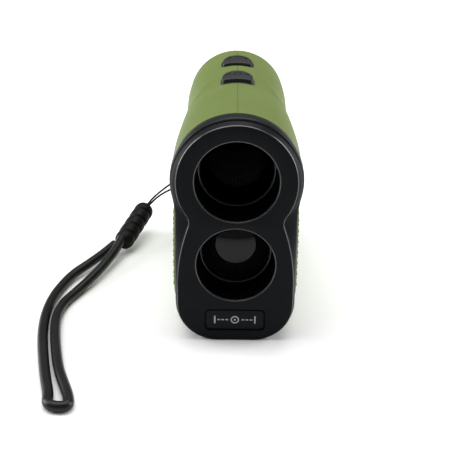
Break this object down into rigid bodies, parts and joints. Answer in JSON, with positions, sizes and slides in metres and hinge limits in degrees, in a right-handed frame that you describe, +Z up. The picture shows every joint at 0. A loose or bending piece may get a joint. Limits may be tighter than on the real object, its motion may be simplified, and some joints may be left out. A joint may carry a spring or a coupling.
{
  "type": "laser rangefinder",
  "caption": "Handheld laser rangefinder with two stacked objectives, eyepiece, two keys, battery cap and a wrist strap.",
  "frame": {"origin": "on the ground under the middle of the casing's bounding box, strap left out", "axes": "+Z up, -Y out of the front face with the two objectives, +Y out of the eyepiece, +X to the right as seen from the front"},
  "size_m": [0.0889, 0.1544, 0.0771],
  "materials": {
    "green_shell": "soft matt moulded",
    "green_grip": "matt textured",
    "steel_screw": "plain",
    "black_plastic": "matt moulded",
    "black_rubber": "matt",
    "label_black": "matt, light grey print",
    "black_metal": "black anodised",
    "ring_metal": "black anodised, satin",
    "coated_glass": "purple antireflection coating",
    "receiver_glass": "clear, coated",
    "eye_glass": "clear, coated",
    "prism_glass": "clear",
    "display_glass": "clear",
    "detector_grey": "matt grey filter face",
    "brass": "machined",
    "black_inner": "matt, glass filled",
    "board_green": "solder mask",
    "switch_black": "moulded",
    "flex_amber": "polyimide",
    "grey_gasket": "matt",
    "key_rubber": "matt",
    "nickel": "nickel plated",
    "cell_wrap": "shrink sleeve",
    "seal_rubber": "smooth",
    "string_black": "braided",
    "sleeve_rubber": "ribbed",
    "loop_black": "smooth round cord"
  },
  "bodies": {
    "casing": {"left_shell": "green_shell", "right_shell": "green_shell", "left_grip": "green_grip", "right_grip": "green_grip", "shell_screws": "steel_screw", "front_bezel": "black_plastic", "front_collar": "black_rubber", "label_plate": "label_black", "objective_cell": "black_metal", "objective_lens": "coated_glass", "objective_ring": "ring_metal", "receiver_cell": "black_metal", "receiver_lens": "receiver_glass", "receiver_ring": "ring_metal", "detector": "detector_grey", "laser_module": "brass", "prism_holder": "black_inner", "front_prism": "prism_glass", "rear_prism": "prism_glass", "display": "display_glass", "eyepiece_tube": "black_inner", "chassis": "black_inner", "main_board": "board_green", "board_screws": "steel_screw", "key_board": "board_green", "mode_switch": "switch_black", "measure_switch": "switch_black", "flex_cable": "flex_amber", "key_gasket": "grey_gasket", "battery_tube": "black_inner", "front_contact": "nickel", "battery": "cell_wrap", "tripod_insert": "brass", "strap_pin": "steel_screw", "strap_string": "string_black", "strap_sleeve": "sleeve_rubber", "wrist_loop": "loop_black"},
    "diopter": {"diopter_ring": "black_plastic", "eyecup": "black_rubber"},
    "eye_carrier": {"lens_carrier": "black_inner", "field_lens": "eye_glass", "eye_lens": "eye_glass"},
    "mode_key": {"mode_key": "key_rubber"},
    "measure_key": {"measure_key": "key_rubber"},
    "seal": {"cap_seal": "seal_rubber"},
    "cap": {"battery_cap": "black_plastic", "cap_contact": "brass"}
  },
  "joints": [
    {"name": "mode_key_press", "type": "slide", "parent": "casing", "child": "mode_key", "axis": [0, 0, -1], "range_m": [0, 0.0008], "stiffness_N_per_m": 900},
    {"name": "measure_key_press", "type": "slide", "parent": "casing", "child": "measure_key", "axis": [0, 0, -1], "range_m": [0, 0.0008], "stiffness_N_per_m": 900},
    {"name": "diopter_turn", "type": "hinge", "parent": "casing", "child": "diopter", "pos_m": [0, 0.045, 0.0569], "axis": [0, 1, 0], "range_deg": [-120, 120]},
    {"name": "eye_focus", "type": "slide", "parent": "casing", "child": "eye_carrier", "axis": [0, 1, 0], "range_m": [-0.001, 0.001]},
    {"name": "cap_travel", "type": "slide", "parent": "casing", "child": "seal", "axis": [0, 1, 0], "range_m": [0, 0.004]},
    {"name": "cap_turn", "type": "hinge", "parent": "seal", "child": "cap", "pos_m": [0, 0.045, 0.022], "axis": [0, -1, 0], "range_deg": [0, 720]}
  ],
  "couplings": [
    {"joint": "diopter_turn", "follows": "eye_focus", "rad_per_m": 2094.4},
    {"joint": "cap_turn", "follows": "cap_travel", "rad_per_m": 3141.6}
  ]
}
